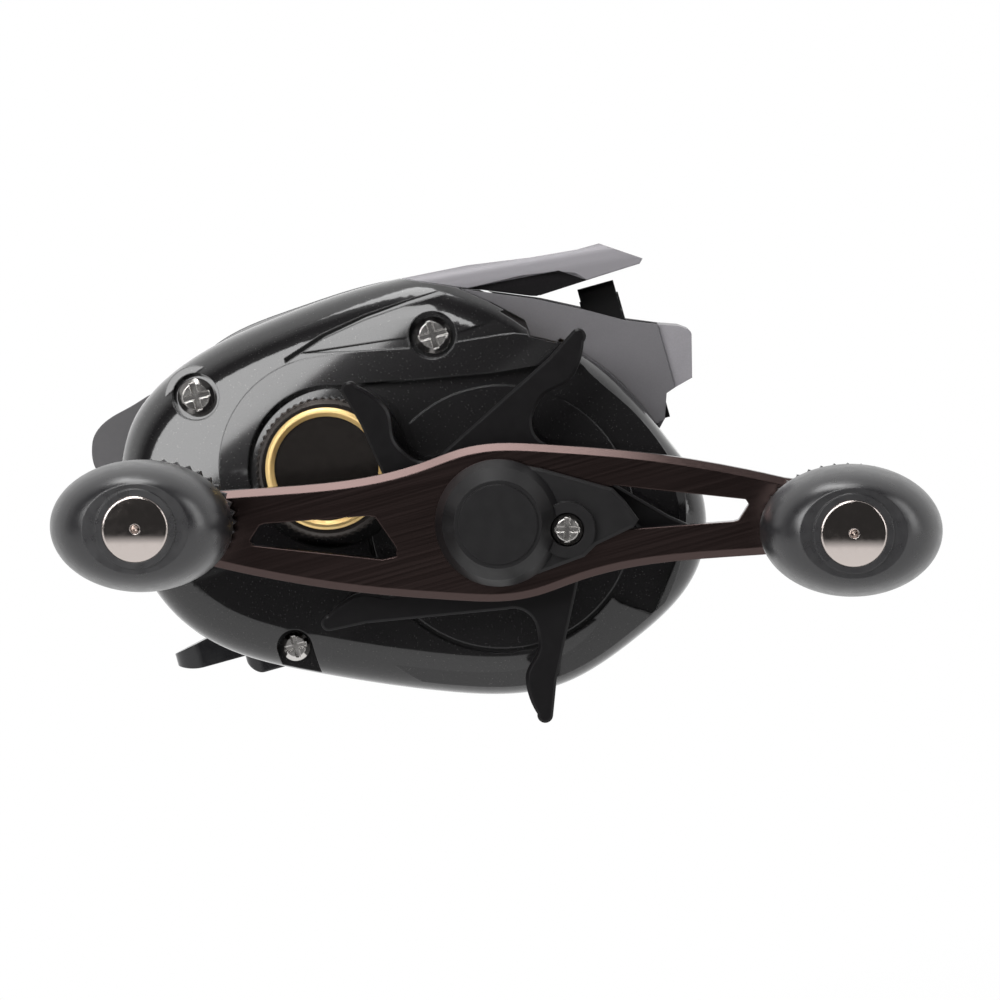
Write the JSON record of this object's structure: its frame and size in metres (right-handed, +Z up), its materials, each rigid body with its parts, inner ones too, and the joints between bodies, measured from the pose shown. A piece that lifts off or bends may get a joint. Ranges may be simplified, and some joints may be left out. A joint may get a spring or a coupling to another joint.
{
  "type": "baitcasting reel",
  "caption": "Low-profile baitcasting fishing reel with double-knob handle, star drag, clutch thumb bar and level wind.",
  "frame": {"origin": "centre line of the rod under the middle of the reel foot", "axes": "+X towards the rod tip, +Z up from the rod to the reel, handle side at -Y"},
  "size_m": [0.102, 0.1013, 0.0579],
  "materials": {
    "frame_paint": "satin",
    "foot_paint": "gloss",
    "cover_gloss": "gloss with fine metallic flake",
    "satin_grey": "satin",
    "dark_steel": "satin",
    "bright_steel": "polished",
    "steel": "satin",
    "spring_steel": "satin",
    "acetal_white": "satin",
    "acetal_dark": "satin",
    "spool_alloy": "satin",
    "brass_gear": "machined",
    "drag_fibre": "woven carbon, matte",
    "black_alloy": "satin",
    "arm_anodised": "anodised, satin",
    "gold_alloy": "anodised, polished",
    "cast_grey": "knurled, satin",
    "black_plastic": "satin",
    "knob_grip": "matte",
    "knob_chrome": "polished",
    "guide_ceramic": "polished",
    "bush_plastic": "satin"
  },
  "bodies": {
    "frame": {"frame": "frame_paint", "reel_foot": "foot_paint", "foot_screws": "dark_steel", "handle_side_cover": "cover_gloss", "cover_screws": "bright_steel", "front_hood": "satin_grey", "front_nose_cover": "satin_grey", "yoke_posts": "steel", "yoke_springs": "spring_steel", "spool_bearing_handle": "bright_steel", "pinion_bearing": "bright_steel", "drive_shaft_bearing": "bright_steel", "one_way_bearing": "steel", "worm_guard": "spool_alloy", "guide_bar": "steel"},
    "palm_side": {"palm_side_cover": "cover_gloss", "brake_pipe": "spool_alloy", "spool_bearing_palm": "bright_steel"},
    "brake_dial": {"brake_dial": "black_plastic"},
    "side_plate_lever": {"side_plate_lever": "satin_grey"},
    "thumb_bar": {"thumb_bar": "satin_grey", "clutch_plate": "steel", "kick_lever": "steel"},
    "clutch_yoke": {"clutch_yoke": "acetal_white"},
    "pinion": {"pinion": "brass_gear"},
    "spool": {"spool": "spool_alloy", "spool_shaft": "steel", "clutch_pin": "steel", "brake_weight_holder": "acetal_dark", "brake_weights": "acetal_white"},
    "handle": {"drive_shaft": "steel", "ratchet_wheel": "steel", "level_wind_drive_gear": "acetal_dark", "main_gear": "brass_gear", "drag_washer": "drag_fibre", "key_washer": "steel", "drag_tube": "steel", "drag_spring_washers": "spring_steel", "handle_arm": "arm_anodised", "handle_nut": "steel", "nut_retainer": "black_plastic", "retainer_screw": "bright_steel", "knob_bushes": "bush_plastic", "knob_pins": "steel", "knob_screws": "bright_steel"},
    "star_drag": {"star_drag": "black_alloy", "star_nut": "brass_gear"},
    "idler_gear": {"idler_gear": "acetal_white"},
    "worm": {"worm_gear": "acetal_dark", "worm_shaft": "steel"},
    "line_guide": {"line_guide": "black_plastic", "line_guide_ring": "guide_ceramic", "pawl_cap": "dark_steel"},
    "pawl": {"pawl": "steel"},
    "rear_knob": {"rear_knob": "knob_grip", "rear_knob_cap": "knob_chrome"},
    "front_knob": {"front_knob": "knob_grip", "front_knob_cap": "knob_chrome"},
    "cast_control": {"cast_control_cap": "cast_grey", "cast_control_ring": "gold_alloy"}
  },
  "joints": [
    {"name": "handle_turn", "type": "hinge", "parent": "frame", "child": "handle", "pos_m": [0.0163, 0, 0.0162], "axis": [0, 1, 0], "continuous": true},
    {"name": "spool_turn", "type": "hinge", "parent": "frame", "child": "spool", "pos_m": [-0.0027, 0, 0.0279], "axis": [0, 1, 0], "continuous": true},
    {"name": "thumb_bar_press", "type": "slide", "parent": "frame", "child": "thumb_bar", "axis": [0, 0, -1], "range_m": [0, 0.005]},
    {"name": "yoke_shift", "type": "slide", "parent": "frame", "child": "clutch_yoke", "axis": [0, -1, 0], "range_m": [0, 0.0013], "deforming": ["yoke_springs"]},
    {"name": "pinion_turn", "type": "hinge", "parent": "clutch_yoke", "child": "pinion", "pos_m": [-0.0027, 0, 0.0279], "axis": [0, 1, 0], "continuous": true},
    {"name": "star_drag_turn", "type": "hinge", "parent": "handle", "child": "star_drag", "pos_m": [0.0163, 0, 0.0162], "axis": [0, 1, 0], "range_deg": [-180, 180]},
    {"name": "cast_control_turn", "type": "hinge", "parent": "frame", "child": "cast_control", "pos_m": [-0.0027, 0, 0.0279], "axis": [0, 1, 0], "range_deg": [-180, 180]},
    {"name": "idler_turn", "type": "hinge", "parent": "frame", "child": "idler_gear", "pos_m": [0.02688, 0, 0.02071], "axis": [0, 1, 0], "continuous": true},
    {"name": "worm_turn", "type": "hinge", "parent": "frame", "child": "worm", "pos_m": [0.0348, 0, 0.0276], "axis": [0, 1, 0], "continuous": true},
    {"name": "line_guide_travel", "type": "slide", "parent": "frame", "child": "line_guide", "axis": [0, 1, 0], "range_m": [-0.0076, 0.0076]},
    {"name": "pawl_swivel", "type": "hinge", "parent": "line_guide", "child": "pawl", "pos_m": [0.0348, 0, 0.0235], "axis": [0, 0, 1], "range_deg": [-25, 25]},
    {"name": "rear_knob_turn", "type": "hinge", "parent": "handle", "child": "rear_knob", "pos_m": [-0.0241, 0, 0.02767], "axis": [0, 1, 0], "continuous": true},
    {"name": "front_knob_turn", "type": "hinge", "parent": "handle", "child": "front_knob", "pos_m": [0.0567, 0, 0.00473], "axis": [0, 1, 0], "continuous": true},
    {"name": "palm_cover_off", "type": "slide", "parent": "frame", "child": "palm_side", "axis": [0, 1, 0], "range_m": [0, 0.03]},
    {"name": "brake_dial_turn", "type": "hinge", "parent": "palm_side", "child": "brake_dial", "pos_m": [-0.0027, 0, 0.0279], "axis": [0, 1, 0], "range_deg": [-120, 120]},
    {"name": "side_plate_lever_turn", "type": "hinge", "parent": "palm_side", "child": "side_plate_lever", "pos_m": [0.02, 0, 0.024], "axis": [0, 1, 0], "range_deg": [0, 60]}
  ],
  "couplings": [
    {"joint": "spool_turn", "follows": "handle_turn", "ratio": -7.2},
    {"joint": "pinion_turn", "follows": "handle_turn", "ratio": -7.2},
    {"joint": "idler_turn", "follows": "handle_turn", "ratio": -1.0909},
    {"joint": "worm_turn", "follows": "handle_turn", "ratio": 1.2},
    {"joint": "yoke_shift", "follows": "thumb_bar_press", "ratio": 0.26}
  ]
}
